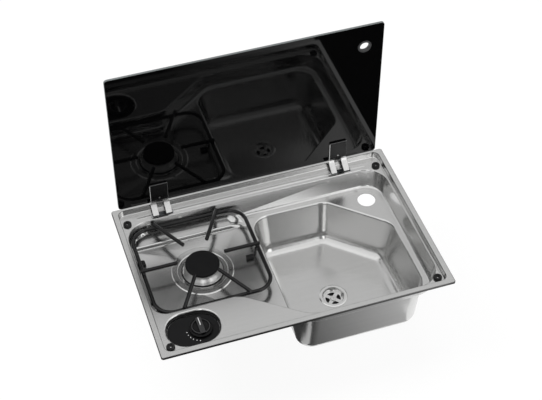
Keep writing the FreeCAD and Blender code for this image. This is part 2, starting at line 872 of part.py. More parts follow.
def burner_cup():
    inner = burner_neck_radius - burner_wall
    floor = cup_base_z + burner_wall
    step = burner_cup_slope
    bevel = burner_flange_bevel
    profile = [(injector_radius, cup_base_z), (burner_neck_radius - step, cup_base_z),
               (burner_neck_radius, cup_base_z + step), (burner_neck_radius, flange_base_z),
               (burner_flange_radius, flange_base_z), (burner_flange_radius, flange_top_z - bevel),
               (burner_flange_radius - bevel, flange_top_z), (inner, flange_top_z),
               (inner, floor + step), (inner - step, floor), (injector_radius, floor)]
    return revolved(burner_x, burner_y, profile).cut(probe_notch())


def burner_crown():
    """Flared skirt that stands on the flange, with a row of flame ports under the cap."""
    inner = crown_radius - crown_wall
    profile = [(inner, flange_top_z), (crown_base_radius, flange_top_z),
               (crown_base_radius, flange_top_z + crown_skirt_base),
               (crown_radius, flange_top_z + crown_skirt_height),
               (crown_radius, crown_top_z - crown_edge), (crown_radius - crown_edge, crown_top_z),
               (inner, crown_top_z)]
    body = revolved(burner_x, burner_y, profile)
    port = Part.makeBox(crown_base_radius, port_width, port_height,
                        V(burner_x, burner_y - port_width / 2, crown_top_z - port_drop - port_height))
    axis = V(burner_x, burner_y, 0)
    ports = []
    for i in range(port_count):
        slot = port.copy()
        slot.rotate(axis, V(0, 0, 1), i * 360.0 / port_count)
        ports.append(slot)
    return body.cut(ports + [probe_notch()])


def burner_cap():
    top = crown_top_z + cap_height
    disc = cylinder(burner_x, burner_y, crown_top_z, top, cap_radius)
    disc = disc.makeFillet(cap_edge_radius, edges_at(disc, top))
    fit = crown_radius - crown_wall - cap_spigot_gap
    base = crown_top_z - cap_spigot_depth
    spigot = ring(burner_x, burner_y, base, crown_top_z, fit, fit - cap_spigot_wall)
    return disc.fuse(spigot).removeSplitter()


def thermocouple():
    x = burner_x - probe_offset
    tip = ledge_z + probe_rise
    stem = cylinder(x, burner_y, ledge_z - probe_below, tip, probe_radius)
    stem = stem.makeFillet(1.0, edges_at(stem, tip))
    nut = hexagon(x, burner_y, ledge_z - sheet - probe_collar_height, ledge_z - sheet, probe_collar_radius)
    return stem.fuse(nut).removeSplitter()


def injector():
    return hexagon(burner_x, burner_y, injector_base_z, cup_base_z, injector_radius + 3).fuse(
        cylinder(burner_x, burner_y, cup_base_z, cup_base_z + burner_wall + 3, injector_radius - 0.1)).fuse(
        cylinder(burner_x, burner_y, cup_base_z + burner_wall + 3, cup_base_z + burner_wall + 7, 3.0)
    ).removeSplitter()


def injector_elbow():
    """Elbow that carries gas from the pipe up into the injector."""
    top = injector_base_z
    block = cylinder(burner_x, burner_y, burner_pipe_z - pipe_nut_radius, top, pipe_nut_radius + 1)
    middle = V(burner_x, burner_y, burner_pipe_z)
    spigot = Part.makeCylinder(pipe_nut_radius, elbow_reach, middle, V(0, -1, 0))
    return block.fuse(spigot).removeSplitter()


def burner_pipe():
    start = (knob_x, bezel_y + tap_face, pipe_z)
    end = (burner_x, burner_y - elbow_reach, burner_pipe_z)
    points = [start, (knob_x, bezel_y + tap_face + pipe_start_run, pipe_z),
              (burner_x, burner_y - elbow_reach - pipe_end_run, burner_pipe_z), end]
    return rod(bent_path(points, pipe_bend), pipe_radius)


def inlet_pipe():
    points = [(knob_x - tap_face, bezel_y, pipe_z), (inlet_x, bezel_y, pipe_z),
              (inlet_x, inlet_end_y, pipe_z)]
    path = bent_path(points, pipe_bend)
    return rod(path, pipe_radius).cut(rod(path, pipe_radius - pipe_wall))


def pipe_nuts():
    """Compression nuts on the pipe ends, each a hexagon round its pipe."""
    places = [(V(knob_x, bezel_y + tap_face, pipe_z), V(0, 1, 0)),
              (V(knob_x - tap_face, bezel_y, pipe_z), V(-1, 0, 0)),
              (V(burner_x, burner_y - elbow_reach, burner_pipe_z), V(0, -1, 0))]
    made = []
    for place, way in places:
        nut = hexagon(0, 0, 0, pipe_nut_length, pipe_nut_radius + 1.5)
        nut = nut.cut(cylinder(0, 0, -1, pipe_nut_length + 1, pipe_radius))
        nut.Placement = FreeCAD.Placement(place, FreeCAD.Rotation(V(0, 0, 1), way))
        made.append(nut)
    return made


def thermocouple_lead():
    x = burner_x - probe_offset
    top = ledge_z - probe_below
    low = tap_base_z - lead_drop
    points = [(x, burner_y, top), (x, burner_y, low), (knob_x, bezel_y, low),
              (knob_x, bezel_y, tap_base_z - lead_gap)]
    return rod(bent_path(points, lead_bend), lead_radius)


def waste_flange():
    dish_floor = bowl_z - waste_dish_depth
    inner = waste_dish_radius
    profile = [(inner + waste_wall, bowl_z), (waste_flange_radius, bowl_z),
               (waste_flange_radius, bowl_z + 0.5),
               (waste_flange_radius - 2.5, bowl_z + waste_flange_height),
               (inner + 2, bowl_z + waste_flange_height), (inner, bowl_z - 1.5), (inner, dish_floor),
               (inner + waste_wall, dish_floor)]
    return revolved(waste_x, waste_y, profile)


def strainer():
    dish_floor = bowl_z - waste_dish_depth
    z0, z1 = dish_floor, dish_floor + strainer_height
    body = cylinder(waste_x, waste_y, z0, z1, waste_screw_head_radius + strainer_hub_land)
    rim_ring = ring(waste_x, waste_y, z0, z1, waste_dish_radius, waste_dish_radius - strainer_rim)
    spokes = []
    for i in range(spoke_count):
        spoke = Part.makeBox(waste_dish_radius - 1, spoke_width, strainer_height,
                             V(waste_x, waste_y - spoke_width / 2, z0))
        spoke.rotate(V(waste_x, waste_y, 0), V(0, 0, 1), 45 + i * 360.0 / spoke_count)
        spokes.append(spoke)
    body = body.fuse(spokes + [rim_ring]).removeSplitter()
    return body.cut(cylinder(waste_x, waste_y, z0 - 1, z1 + 1, waste_screw_radius))


gasket_top_z = bowl_z - sheet
body_top_z = gasket_top_z - gasket_height
body_base_z = body_top_z - waste_body_height


def waste_gasket():
    return ring(waste_x, waste_y, body_top_z, gasket_top_z, gasket_radius, waste_hole_radius)


def waste_body():
    """Cup under the bowl with a spider for the centre screw."""
    wall = waste_body_wall
    cup_inner = waste_hole_radius - 0.5
    cup_outer = waste_body_radius - waste_body_lip
    shoulder = body_base_z + waste_body_slope
    profile = [(tail_bore, body_base_z), (tail_radius + tail_land, body_base_z), (cup_outer, shoulder),
               (cup_outer, body_top_z - waste_body_lip), (waste_body_radius, body_top_z - waste_body_lip),
               (waste_body_radius, body_top_z), (cup_inner, body_top_z),
               (cup_inner, shoulder + wall), (tail_bore, body_base_z + wall)]
    cup = revolved(waste_x, waste_y, profile)
    z0 = bowl_z - waste_dish_depth - spider_height
    arm = Part.makeBox(2 * cup_inner, spider_width, spider_height,
                       V(waste_x - cup_inner, waste_y - spider_width / 2, z0))
    cross = arm.copy()
    cross.rotate(V(waste_x, waste_y, 0), V(0, 0, 1), 90)
    boss = cylinder(waste_x, waste_y, z0, z0 + spider_height, waste_screw_radius + 3)
    body = cup.fuse([arm, cross, boss]).removeSplitter()
    return body.cut(cylinder(waste_x, waste_y, z0 - 1, z0 + spider_height + 1, waste_screw_radius))


def waste_tail():
    return ring(waste_x, waste_y, body_base_z - tail_length, body_base_z, tail_radius, tail_bore)


def waste_screw():
    head_base = bowl_z - waste_dish_depth + strainer_height
    head_top = head_base + waste_screw_head_height
    head = cylinder(waste_x, waste_y, head_base, head_top, waste_screw_head_radius)
    head = head.makeFillet(waste_screw_head_height / 2, edges_at(head, head_top))
    shank_base = bowl_z - waste_dish_depth - spider_height
    shank = cylinder(waste_x, waste_y, shank_base, head_base, waste_screw_radius)
    return head.fuse(shank).removeSplitter()


# Pan support levels
finger_z = finger_top - finger_wire_radius
support_z = finger_z - finger_wire_radius - support_wire_radius - weld_gap


def support_ring():
    points = rectangle(support_x - support_width / 2, support_x + support_width / 2,
                       support_y - support_depth / 2, support_y + support_depth / 2)
    path = rounded_wire(points, [support_corner_radius] * 4, support_z)
    edges = path.OrderedEdges
    start = edges[0].valueAt(edges[0].FirstParameter)
    heading = edges[0].tangentAt(edges[0].FirstParameter)
    profile = Part.Wire([Part.makeCircle(support_wire_radius, start, heading)])
    return path.makePipeShell([profile], True, True)


def support_fingers():
    made = []
    for i in range(finger_count):
        angle = math.radians(i * finger_step_deg)
        way = V(math.cos(angle), math.sin(angle), 0)
        centre = V(support_x, support_y, finger_z)
        reach = min(support_width / 2 / max(abs(way.x), 0.001), support_depth / 2 / max(abs(way.y), 0.001))
        start = centre + way * finger_inner_radius
        end = centre + way * (reach + support_wire_radius + finger_overhang * abs(way.x))
        made.append(straight_rod(start, end, finger_wire_radius))
    return made


def leg_paths():
    """Points of each leg, from its weld on the ring to the level end that its sleeve covers."""
    foot_z = ledge_z + sleeve_radius - sleeve_flat
    side_x = support_x + support_width / 2
    weld_x = side_x - support_wire_radius - leg_wire_radius - weld_gap
    y = support_y + leg_offset_y
    paths = [[V(weld_x, y, support_z + leg_weld_rise), V(weld_x, y, foot_z), V(side_x - leg_run, y, foot_z)]]
    left_x = support_x - support_width / 2
    foot_x = left_x + leg_inset
    top_z = support_z - support_wire_radius - leg_top_gap
    for offset, run in ((leg_front_offset, -left_leg_run), (leg_back_offset, left_leg_run)):
        y = support_y + offset
        paths.append([V(left_x, y, top_z), V(foot_x, y, foot_z), V(foot_x, y + run, foot_z)])
    return paths


def support_legs():
    """The right leg is welded inside the ring and the left ones under it; all turn level on the floor."""
    return [rod(bent_path([tuple(point) for point in points], leg_bend), leg_wire_radius)
            for points in leg_paths()]


def support_feet():
    """Rubber sleeves on the legs' level ends, each with a worn flat that sits on the floor."""
    made = []
    for start, turn, end in leg_paths():
        way = (end - turn).normalize()
        mouth = end + way * (sleeve_cap - sleeve_length)
        sleeve = Part.makeCylinder(sleeve_radius, sleeve_length, mouth, way)
        below = Part.makeBox(4 * sleeve_length, 4 * sleeve_length, sleeve_radius,
                             end - V(2 * sleeve_length, 2 * sleeve_length, 2 * sleeve_radius - sleeve_flat))
        bore = Part.makeCylinder(leg_wire_radius, sleeve_length - sleeve_cap, mouth, way)
        made.append(sleeve.cut([below, bore]))
    return made


def upright_plate(x0, x1, z0, z1, y0, y1, radius):
    """Plate standing across Y with rounded corners."""
    body = plate(rectangle(x0, x1, z0, z1), [radius] * 4, 0, y1 - y0)
    body.rotate(V(0, 0, 0), V(1, 0, 0), 90)
    body.translate(V(0, y1, 0))
    return body


def bore_across(x, z, y0, y1, radius):
    return Part.makeCylinder(radius, y1 - y0, V(x, y0, z), V(0, 1, 0))


def glass_lid():
    y0, y1 = lid_face_y, lid_face_y + glass_thickness
    body = upright_plate(-glass_width / 2, glass_width / 2, lid_foot_z, lid_foot_z + glass_length,
                         y0, y1, glass_corner_radius)
    outline = [e for e in body.Edges if e.BoundBox.YLength < 0.001]
    body = body.makeChamfer(glass_edge_chamfer, outline)
    return body.cut(bore_across(finger_hole_x, finger_hole_z, y0 - 1, y1 + 1, finger_hole_radius))


def grommet():
    y0, y1 = lid_face_y, lid_face_y + glass_thickness
    outer = finger_hole_radius + grommet_flange
    sleeve = bore_across(finger_hole_x, finger_hole_z, y0, y1, finger_hole_radius - grommet_fit)
    front = bore_across(finger_hole_x, finger_hole_z, y0 - grommet_flange_height, y0, outer)
    rear = bore_across(finger_hole_x, finger_hole_z, y1, y1 + grommet_flange_height, outer)
    body = sleeve.fuse([front, rear]).removeSplitter()
    bore = bore_across(finger_hole_x, finger_hole_z, y0 - 9, y1 + 9, finger_hole_radius - grommet_wall)
    return body.cut(bore)


leaf_back_y = lid_face_y - pad_thickness
leaf_front_y = leaf_back_y - leaf_thickness
cover_front_y = leaf_front_y - cover_thickness
leaf_base_z = rim_height + leaf_rim_gap


def hinge_pad(x):
    return upright_plate(x - hinge_leaf_width / 2, x + hinge_leaf_width / 2,
                         lid_foot_z + 0.5, hinge_leaf_top, leaf_back_y, lid_face_y, 1.0)


def hinge_cover(x):
    body = upright_plate(x - hinge_leaf_width / 2, x + hinge_leaf_width / 2, cover_bottom, cover_top,
                         cover_front_y, leaf_front_y, cover_corner_radius)
    front = [e for e in body.Edges if abs(e.BoundBox.YMin - cover_front_y) < 0.001
             and abs(e.BoundBox.YMax - cover_front_y) < 0.001]
    body = body.makeFillet(cover_edge_radius, front)
    screw_z = cover_bottom + cover_screw_rise
    return body.cut(bore_across(x, screw_z, cover_front_y - 1, leaf_front_y + 1, cover_screw_radius))


def cover_screw(x):
    screw_z = cover_bottom + cover_screw_rise
    return bore_across(x, screw_z, cover_front_y + cover_screw_height, leaf_front_y, cover_screw_radius)


def strap_run(points, x0, x1):
    """Bent steel strip: flat runs joined by rounded bends, with the strip's width along X."""
    half = strap_thickness / 2
    pieces = []
    for (ya, za), (yb, zb) in zip(points, points[1:]):
        way = V(0, yb - ya, zb - za)
        side = V(0, -way.z, way.y).normalize() * half
        start = V(x0, ya, za)
        corners = [start + side, start + way + side, start + way - side, start - side]
        pieces.append(Part.Face(Part.makePolygon(corners + corners[:1])).extrude(V(x1 - x0, 0, 0)))
    for y, z in points[1:-1]:
        pieces.append(cylinder_along_x(x0, x1, y, z, half))
    return pieces[0].fuse(pieces[1:])


def strap_points():
    """Gooseneck from the leaf, forward and down through the slot, then back to the pin."""
    leaf_middle = leaf_front_y + leaf_thickness / 2
    return [(leaf_middle, leaf_base_z + knuckle_rise),
            (leaf_middle - knuckle_reach, rim_height - knuckle_drop),
            (slot_front + strap_slot_gap, deck_z - strap_slot_drop),
            (pivot_y - strap_heel_reach, pivot_z - strap_heel_drop), (pivot_y, pivot_z)]


def hinge_arm(x):
    leaf = upright_plate(x - hinge_leaf_width / 2, x + hinge_leaf_width / 2, leaf_base_z, hinge_leaf_top,
                         leaf_front_y, leaf_back_y, 1.5)
    slot_z = leaf_base_z + leaf_hole_rise
    slot = upright_plate(x - leaf_hole_length / 2, x + leaf_hole_length / 2, slot_z - leaf_hole_height / 2,
                         slot_z + leaf_hole_height / 2, leaf_front_y - 1, leaf_back_y + 1,
                         leaf_hole_height / 2 - 0.01)
    body = leaf.cut(slot)
    for side in (-1, 1):
        x0 = x + side * strap_spacing / 2 - strap_width / 2
        x1 = x0 + strap_width
        eye = cylinder_along_x(x0, x1, pivot_y, pivot_z, eye_radius)
        strap = strap_run(strap_points(), x0, x1).fuse(eye).removeSplitter()
        body = body.fuse(strap.cut(cylinder_along_x(x0 - 1, x1 + 1, pivot_y, pivot_z, pin_radius + pin_fit)))
    return body.removeSplitter()


def hinge_bracket(x):
    """Box under the slot: a web on the well's back wall, a floor, a back and two cheeks for the pin."""
    top = deck_z - sheet
    web_top = top - web_top_gap
    web_base = web_top - web_height
    wall_top = V(0, well_back_y(web_top), web_top)
    wall_base = V(0, well_back_y(web_base), web_base)
    out = wall_direction() * web_thickness
    x0 = V(x - web_half_width, 0, 0)
    corners = [wall_top + x0, wall_top + out + x0, wall_base + out + x0, wall_base + x0]
    body = Part.Face(Part.makePolygon(corners + corners[:1])).extrude(V(2 * web_half_width, 0, 0))
    back = pivot_y + bracket_back_gap
    left = x - slot_half_width
    front = wall_base.y + out.y
    floor = Part.makeBox(2 * slot_half_width, back - front, web_thickness, V(left, front, web_base))
    rear = Part.makeBox(2 * slot_half_width, web_thickness, top - web_base, V(left, back, web_base))
    pieces = [floor, rear]
    outline = [wall_top + out * 0.5, V(0, slot_front, top), V(0, back, top), V(0, back, web_base),
               wall_base + out * 0.5]
    for cheek_x in (left, x + slot_half_width - cheek_thickness):
        cheek = Part.Face(Part.makePolygon(outline + outline[:1])).extrude(V(cheek_thickness, 0, 0))
        cheek.translate(V(cheek_x, 0, 0))
        pieces.append(cheek)
    body = body.fuse(pieces).removeSplitter()
    cuts = [cylinder_along_x(x - web_half_width, x + web_half_width, pivot_y, pivot_z, pin_radius)]
    for place in rivet_places(x):
        cuts.append(Part.makeCylinder(rivet_radius, 10, place - wall_direction() * 5, wall_direction()))
    return body.cut(cuts)


def hinge_pin(x):
    reach = slot_half_width + cheek_thickness
    return cylinder_along_x(x - reach, x + reach, pivot_y, pivot_z, pin_radius)


def rivets():
    made = []
    out = wall_direction()
    wall = sheet * (well_depth + well_inset_back) / math.hypot(well_depth, well_inset_back)
    for side in (-1, 1):
        for place in rivet_places(side * hinge_x):
            inside = place - out * wall
            shank = Part.makeCylinder(rivet_radius, wall + web_thickness, inside, out)
            head = Part.makeCylinder(rivet_head_radius, rivet_head_height, inside, -out)
            tail = Part.makeCylinder(rivet_head_radius, rivet_head_height, place + out * web_thickness, out)
            made.append(shank.fuse([head, tail]).removeSplitter())
    return made


os.makedirs("parts", exist_ok=True)

deck, bowl = pressing()
save("deck_pressing", deck)
save("sink_bowl", bowl)
save("flange_seal", flange_seal())
save("corner_buffers", buffers())

save("control_bezel", bezel())
save("control_knob", knob())
save("valve_stem", valve_stem())
save("gas_tap_body", gas_tap())
save("tap_bracket", tap_bracket())
save("tap_neck_nut", neck_nut())
save("bracket_studs", bracket_studs())

save("burner_seal", burner_seal())
save("burner_cup", burner_cup())
save("burner_crown", burner_crown())
save("burner_cap", burner_cap())
save("thermocouple", thermocouple())
save("thermocouple_lead", thermocouple_lead())
save("injector", injector())
save("injector_elbow", injector_elbow())
save("burner_pipe", burner_pipe())
save("gas_inlet_pipe", inlet_pipe())
save("pipe_nuts", pipe_nuts())

save("waste_flange", waste_flange())
save("waste_strainer", strainer())
save("waste_screw", waste_screw())
save("waste_gasket", waste_gasket())
save("waste_body", waste_body())
save("waste_tail", waste_tail())

save("pan_support_ring", support_ring())
save("pan_support_fingers", support_fingers())
save("pan_support_legs", support_legs())
save("pan_support_feet", support_feet())

save("glass_lid", glass_lid())
save("finger_grommet", grommet())
for hand, hinge_side in (("left", -1), ("right", 1)):
    save("hinge_arm_" + hand, hinge_arm(hinge_side * hinge_x))
    save("hinge_pad_" + hand, hinge_pad(hinge_side * hinge_x))
    save("hinge_cover_" + hand, hinge_cover(hinge_side * hinge_x))
    save("hinge_bracket_" + hand, hinge_bracket(hinge_side * hinge_x))
    save("hinge_pin_" + hand, hinge_pin(hinge_side * hinge_x))
save("hinge_cover_screws", [cover_screw(side * hinge_x) for side in (-1, 1)])
save("hinge_rivets", rivets())
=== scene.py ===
import json
import math
import bpy
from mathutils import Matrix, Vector

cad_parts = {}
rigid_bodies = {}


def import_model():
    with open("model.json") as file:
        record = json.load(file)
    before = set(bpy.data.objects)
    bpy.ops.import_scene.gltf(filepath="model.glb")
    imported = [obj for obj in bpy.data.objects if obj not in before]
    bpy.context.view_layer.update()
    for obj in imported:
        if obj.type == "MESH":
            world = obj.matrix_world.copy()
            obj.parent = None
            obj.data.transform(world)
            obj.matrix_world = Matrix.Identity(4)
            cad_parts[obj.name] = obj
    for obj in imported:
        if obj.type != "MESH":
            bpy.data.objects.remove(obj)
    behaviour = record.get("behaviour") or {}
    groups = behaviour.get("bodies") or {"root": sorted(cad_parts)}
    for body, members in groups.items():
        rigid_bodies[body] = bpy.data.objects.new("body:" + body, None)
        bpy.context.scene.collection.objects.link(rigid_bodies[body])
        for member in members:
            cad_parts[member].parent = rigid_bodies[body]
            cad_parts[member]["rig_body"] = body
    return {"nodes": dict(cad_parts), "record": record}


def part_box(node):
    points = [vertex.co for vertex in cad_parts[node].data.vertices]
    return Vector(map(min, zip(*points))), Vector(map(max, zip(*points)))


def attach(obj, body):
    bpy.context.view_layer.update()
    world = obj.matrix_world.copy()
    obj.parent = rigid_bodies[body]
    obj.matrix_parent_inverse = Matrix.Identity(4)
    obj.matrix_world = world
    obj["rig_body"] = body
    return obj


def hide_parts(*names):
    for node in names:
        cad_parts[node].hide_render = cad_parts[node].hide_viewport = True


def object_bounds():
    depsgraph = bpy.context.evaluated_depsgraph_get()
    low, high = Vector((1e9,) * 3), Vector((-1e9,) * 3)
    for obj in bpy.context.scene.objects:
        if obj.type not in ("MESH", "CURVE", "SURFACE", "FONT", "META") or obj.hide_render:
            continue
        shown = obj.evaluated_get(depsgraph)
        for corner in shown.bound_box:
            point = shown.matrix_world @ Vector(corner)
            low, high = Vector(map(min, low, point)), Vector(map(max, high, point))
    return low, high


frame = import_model()
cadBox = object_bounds()
nodes = frame["nodes"]
slotOf = {part["node"]: part["material_slot"] for part in frame["record"]["subparts"]}
print("frame loaded:", len(nodes), "nodes")


def nodeMiddle(name):
    low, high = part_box(name)
    return (low + high) / 2


# Shader sums are written as Python on this small wrapper
class Wire:
    def __init__(self, tree, socket):
        self.tree = tree
        self.socket = socket

    def math(self, operation, first, second):
        return addNode(self.tree, "ShaderNodeMath", {"operation": operation}, {0: first, 1: second})

    def __add__(self, other): return self.math("ADD", self, other)
    def __radd__(self, other): return self.math("ADD", other, self)
    def __sub__(self, other): return self.math("SUBTRACT", self, other)
    def __rsub__(self, other): return self.math("SUBTRACT", other, self)
    def __mul__(self, other): return self.math("MULTIPLY", self, other)
    def __rmul__(self, other): return self.math("MULTIPLY", other, self)
    def __pow__(self, other): return self.math("POWER", self, other)
    def most(self, other): return self.math("MAXIMUM", self, other)
    def sine(self): return self.math("SINE", self, 0.0)
    def clamped(self): return addNode(self.tree, "ShaderNodeClamp", {}, {0: self})


def addNode(tree, kind, settings, inputs, output=0):
    node = tree.nodes.new(kind)
    for key, value in settings.items():
        setattr(node, key, value)
    for key, value in inputs.items():
        if isinstance(value, Wire):
            tree.links.new(value.socket, node.inputs[key])
        else:
            node.inputs[key].default_value = value
    return Wire(tree, node.outputs[output])


def weighed(waves, shares):
    total = waves[0] * shares[0]
    for wave, share in zip(waves[1:], shares[1:]):
        total = total + wave * share
    return total


class Finish:
    # one material: its Principled shader, object coordinates and the patterns drawn on them
    def __init__(self, name, colour, roughness, metallic=0.0, **fixed):
        self.material = bpy.data.materials.new(name)
        self.material.use_nodes = True
        self.tree = self.material.node_tree
        self.shader = self.tree.nodes["Principled BSDF"]
        self.set("Base Color", (*colour, 1.0))
        self.set("Roughness", roughness)
        self.set("Metallic", metallic)
        for key, value in fixed.items():
            self.set(key.replace("_", " "), value)
        self.place = self.node("ShaderNodeTexCoord", {}, {}, "Object")

    def node(self, kind, settings, inputs, output=0):
        return addNode(self.tree, kind, settings, inputs, output)

    def set(self, key, value):
        if isinstance(value, Wire):
            self.tree.links.new(value.socket, self.shader.inputs[key])
        else:
            self.shader.inputs[key].default_value = value

    def noise(self, scale, stretch=(1, 1, 1), detail=3.0, rough=0.55):
        spot = self.node("ShaderNodeMapping", {}, {"Vector": self.place, "Scale": stretch})
        return self.node("ShaderNodeTexNoise", {}, {"Vector": spot, "Scale": scale, "Detail": detail,
                                                    "Roughness": rough})

    def axis(self, letter):
        return self.node("ShaderNodeSeparateXYZ", {}, {0: self.place}, letter)

    # sockets 6 and 7 are the Mix node's two colours, and output 2 is their mixture
    def blend(self, factor, first, second):
        inputs = {"Factor": factor, 6: (*first, 1.0), 7: (*second, 1.0)}
        return self.node("ShaderNodeMix", {"data_type": "RGBA"}, inputs, 2)

    # roughness swings about its middle value, as the wave does about a half
    def varyRoughness(self, middle, spread, wave):
        self.set("Roughness", middle + spread * (wave - 0.5))

    def bump(self, height, strength, distance):
        self.set("Normal", self.node("ShaderNodeBump", {}, {"Strength": strength, "Distance": distance,
                                                            "Height": height}))


# Satin stainless sheet: fine grain and broader streaks along the unit, and a soft mottle
steelLook = {
    "colour": (0.70, 0.70, 0.695), "darker": (0.58, 0.58, 0.575), "grain": 60.0, "alongX": (0.35, 30, 30),
    "streak": (0.06, 5, 5), "mottle": 7.0, "toneShares": (0.3, 0.5, 0.2), "roughShares": (0.4, 0.4, 0.2),
    "roughness": 0.21, "spread": 0.08, "bump": 0.006,
}
grainDepth = 0.0004

# Painted shade: the fold round the recess, the tap hole's bore and the rim's outer edge take a much darker steel
# colour that stands in for the shade there
paintedFoldShadeLook = dict(steelLook, colour=(0.20, 0.20, 0.198), darker=(0.12, 0.12, 0.119))


def stainlessFinish(name, look):
    finish = Finish(name, look["colour"], look["roughness"], 1.0)
    grain = finish.noise(look["grain"], look["alongX"], detail=4.0, rough=0.6)
    streak = finish.noise(look["grain"], look["streak"], rough=0.6)
    mottle = finish.noise(look["mottle"], detail=2.0, rough=0.5)
    waves = (grain, streak, mottle)
    tone = weighed(waves, look["toneShares"]).clamped()
    finish.set("Base Color", finish.blend(tone, look["darker"], look["colour"]))
    finish.varyRoughness(look["roughness"], look["spread"], weighed(waves, look["roughShares"]))
    finish.bump(grain, look["bump"], grainDepth)
    return finish.material


# Black printed glass: polished, with the faint unevenness of wiping
glassLook = {"colour": (0.0012, 0.0012, 0.0014), "roughness": 0.035, "wipe": 0.035, "wipeSize": 9.0,
             "wipeStretch": (1, 1, 0.35), "index": 1.42}


def glassFinish():
    finish = Finish("blackGlass", glassLook["colour"], glassLook["roughness"], IOR=glassLook["index"])
    wipe = finish.noise(glassLook["wipeSize"], glassLook["wipeStretch"], rough=0.5)
    finish.varyRoughness(glassLook["roughness"], glassLook["wipe"], wipe)
    return finish.material


# The lid's ground rim
groundLook = {"colour": (0.16, 0.175, 0.175), "roughness": 0.42, "spread": 0.2, "grain": 600.0, "index": 1.52}


def groundFinish():
    look = groundLook
    finish = Finish("groundGlassEdge", look["colour"], look["roughness"], IOR=look["index"])
    finish.varyRoughness(look["roughness"], look["spread"], finish.noise(look["grain"]))
    return finish.material


# Black coats and mouldings: two tones, roughness, its spread, grain, strength of the grain's bump and shine
blackLooks = {
    "satinEnamel": {"colour": (0.004, 0.004, 0.0042), "paler": (0.008, 0.008, 0.0083), "roughness": 0.14,
                    "spread": 0.06, "grain": 260.0, "bump": 0.08, "shine": 0.42},
    "capEnamel": {"colour": (0.007, 0.007, 0.0073), "paler": (0.013, 0.013, 0.0135), "roughness": 0.44,
                  "spread": 0.12, "grain": 420.0, "bump": 0.08, "shine": 0.08},
    "blackMoulding": {"colour": (0.006, 0.006, 0.0063), "paler": (0.012, 0.012, 0.0125), "roughness": 0.30,
                      "spread": 0.10, "grain": 900.0, "bump": 0.06, "shine": 0.12},
    "knobMoulding": {"colour": (0.0025, 0.0025, 0.0027), "paler": (0.006, 0.006, 0.0063), "roughness": 0.26,
                     "spread": 0.08, "grain": 1100.0, "bump": 0.05, "shine": 0.14},
    # painted sheen: a paler black for the top of the knob's bar, standing in for its highlight
    "knobTopSheen": {"colour": (0.018, 0.018, 0.0185), "paler": (0.032, 0.032, 0.033), "roughness": 0.36,
                 "spread": 0.10, "grain": 1100.0, "bump": 0.05, "shine": 0.45},
    # painted highlight: a paler black for the hinge covers' side faces, standing in for their bright edge highlights
    "coverEdgeHighlight": {"colour": (0.050, 0.050, 0.051), "paler": (0.080, 0.080, 0.081), "roughness": 0.30,
                  "spread": 0.10, "grain": 900.0, "bump": 0.03, "shine": 0.80},
    "glossCover": {"colour": (0.004, 0.004, 0.0043), "paler": (0.007, 0.007, 0.0073), "roughness": 0.18,
                   "spread": 0.06, "grain": 900.0, "bump": 0.03, "shine": 0.26},
    "greyMoulding": {"colour": (0.060, 0.060, 0.063), "paler": (0.085, 0.085, 0.088), "roughness": 0.5,
                     "spread": 0.10, "grain": 900.0, "bump": 0.1, "shine": 0.4},
    "blackRubber": {"colour": (0.007, 0.007, 0.0073), "paler": (0.016, 0.016, 0.0165), "roughness": 0.60,
                    "spread": 0.16, "grain": 700.0, "bump": 0.2, "shine": 0.3},
    "foamStrip": {"colour": (0.030, 0.030, 0.031), "paler": (0.060, 0.060, 0.062), "roughness": 0.85,
                  "spread": 0.1, "grain": 500.0, "bump": 0.5, "shine": 0.2},
}
blackWear = {"size": 38.0, "shares": (0.4, 0.6)}


def blackFinish(name):
    look = blackLooks[name]
    finish = Finish(name, look["colour"], look["roughness"], Specular_IOR_Level=look["shine"])
    grain = finish.noise(look["grain"], detail=2.0, rough=0.5)
    wear = finish.noise(blackWear["size"], rough=0.6)
    tone = weighed((grain, wear), blackWear["shares"])
    finish.set("Base Color", finish.blend(tone.clamped(), look["colour"], look["paler"]))
    finish.varyRoughness(look["roughness"], look["spread"], tone)
    finish.bump(grain, look["bump"], grainDepth)
    return finish.material


# Metals of the fittings: colour, a second tone, roughness, its spread, grain and strength of the grain's bump
metalLooks = {
    "castAluminium": {"colour": (0.70, 0.70, 0.695), "second": (0.58, 0.58, 0.575), "roughness": 0.34,
                      "spread": 0.14, "grain": 240.0, "bump": 0.08},
    "turnedBrass": {"colour": (0.70, 0.53, 0.27), "second": (0.55, 0.40, 0.19), "roughness": 0.28,
                    "spread": 0.14, "grain": 180.0, "bump": 0.05},
    "zincSteel": {"colour": (0.55, 0.56, 0.57), "second": (0.43, 0.44, 0.46), "roughness": 0.38,
                  "spread": 0.18, "grain": 90.0, "bump": 0.06},
    "brightSteel": {"colour": (0.72, 0.72, 0.715), "second": (0.62, 0.62, 0.615), "roughness": 0.22,
                    "spread": 0.10, "grain": 300.0, "bump": 0.04},
    "tubeSteel": {"colour": (0.50, 0.50, 0.49), "second": (0.40, 0.40, 0.395), "roughness": 0.34,
                  "spread": 0.14, "grain": 120.0, "bump": 0.05},
    "drawnCopper": {"colour": (0.66, 0.37, 0.25), "second": (0.50, 0.26, 0.17), "roughness": 0.3,
                    "spread": 0.14, "grain": 160.0, "bump": 0.04},
}
metalStain = {"size": 24.0, "toneShares": (0.35, 0.65), "roughShares": (0.5, 0.5)}


def metalFinish(name):
    look = metalLooks[name]
    finish = Finish(name, look["colour"], look["roughness"], 1.0)
    grain = finish.noise(look["grain"], rough=0.6)
    waves = (grain, finish.noise(metalStain["size"], rough=0.6))
    tone = weighed(waves, metalStain["toneShares"]).clamped()
    finish.set("Base Color", finish.blend(tone, look["second"], look["colour"]))
    finish.varyRoughness(look["roughness"], look["spread"], weighed(waves, metalStain["roughShares"]))
    finish.bump(grain, look["bump"], grainDepth)
    return finish.material


# Polished waste fittings carry the fine rings of turning round their own middle
wasteLook = {
    "colour": (0.78, 0.78, 0.775), "second": (0.66, 0.66, 0.655), "roughness": 0.12, "rings": 5200.0, "stain": 60.0,
    "toneShares": (0.4, 0.6), "ringSpread": 0.08, "stainSpread": 0.08, "bump": 0.05, "ringDepth": 0.0002,
}


